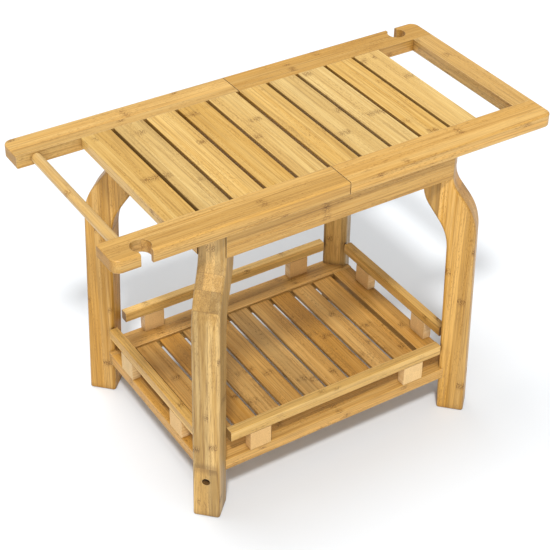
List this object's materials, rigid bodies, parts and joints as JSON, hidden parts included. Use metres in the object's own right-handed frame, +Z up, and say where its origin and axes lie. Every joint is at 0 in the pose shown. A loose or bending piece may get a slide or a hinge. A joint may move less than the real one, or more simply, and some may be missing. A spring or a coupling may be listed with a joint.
{
  "type": "shower bench",
  "caption": "Slatted bamboo shower bench on S-curved corner legs, with a guarded lower shelf, a towel rod, a hand slot and notches that hold a hand shower.",
  "frame": {"origin": "on the floor, under the middle of the seat", "axes": "+X along the seat from the towel rod end to the hand slot end, -Y towards the front, +Z up"},
  "size_m": [0.65, 0.3526, 0.45],
  "materials": {
    "seat_rail_bamboo": "satin clear-lacquered vertical-grain bamboo",
    "seat_slat_bamboo": "satin clear-lacquered plain-pressed bamboo",
    "rod_bamboo": "turned bamboo, satin",
    "leg_bamboo": "laminated bamboo plank, satin",
    "apron_bamboo": "laminated bamboo board, satin",
    "shelf_board_bamboo": "laminated bamboo board, satin",
    "shelf_slat_bamboo": "laminated bamboo slat, satin",
    "guard_bamboo": "laminated bamboo strip, satin",
    "block_bamboo": "sawn bamboo block, satin",
    "dowel_wood": "plain fluted dowel",
    "pad_rubber": "matt black rubber",
    "bolt_steel": "zinc-plated steel"
  },
  "bodies": {
    "root": {"apron_front": "apron_bamboo", "apron_left": "apron_bamboo", "apron_rear": "apron_bamboo", "apron_right": "apron_bamboo", "corner_bolts": "bolt_steel", "corner_brace_front_left": "apron_bamboo", "corner_brace_front_right": "apron_bamboo", "corner_brace_rear_left": "apron_bamboo", "corner_brace_rear_right": "apron_bamboo", "foot_pads": "pad_rubber", "guard_block_front_1": "block_bamboo", "guard_block_front_2": "block_bamboo", "guard_block_left_1": "block_bamboo", "guard_block_left_2": "block_bamboo", "guard_block_rear_1": "block_bamboo", "guard_block_rear_2": "block_bamboo", "guard_block_right_1": "block_bamboo", "guard_block_right_2": "block_bamboo", "guard_dowels": "dowel_wood", "guard_rail_front": "guard_bamboo", "guard_rail_left": "guard_bamboo", "guard_rail_rear": "guard_bamboo", "guard_rail_right": "guard_bamboo", "leg_front_left": "leg_bamboo", "leg_front_right": "leg_bamboo", "leg_rear_left": "leg_bamboo", "leg_rear_right": "leg_bamboo", "seat_end_rail": "seat_rail_bamboo", "seat_rail_front_left": "seat_rail_bamboo", "seat_rail_front_right": "seat_rail_bamboo", "seat_rail_rear_left": "seat_rail_bamboo", "seat_rail_rear_right": "seat_rail_bamboo", "seat_screws": "bolt_steel", "seat_slat_left_1": "seat_slat_bamboo", "seat_slat_left_2": "seat_slat_bamboo", "seat_slat_left_3": "seat_slat_bamboo", "seat_slat_left_4": "seat_slat_bamboo", "seat_slat_left_5": "seat_slat_bamboo", "seat_slat_right_1": "seat_slat_bamboo", "seat_slat_right_2": "seat_slat_bamboo", "seat_slat_right_3": "seat_slat_bamboo", "seat_slat_right_4": "seat_slat_bamboo", "seat_slat_right_5": "seat_slat_bamboo", "shelf_board_front": "shelf_board_bamboo", "shelf_board_left": "shelf_board_bamboo", "shelf_board_rear": "shelf_board_bamboo", "shelf_board_right": "shelf_board_bamboo", "shelf_bolts": "bolt_steel", "shelf_slat_1": "shelf_slat_bamboo", "shelf_slat_2": "shelf_slat_bamboo", "shelf_slat_3": "shelf_slat_bamboo", "shelf_slat_4": "shelf_slat_bamboo", "shelf_slat_5": "shelf_slat_bamboo", "shelf_slat_6": "shelf_slat_bamboo", "shelf_slat_7": "shelf_slat_bamboo", "shelf_slat_8": "shelf_slat_bamboo", "shelf_slat_9": "shelf_slat_bamboo", "towel_rod": "rod_bamboo"}
  },
  "joints": []
}
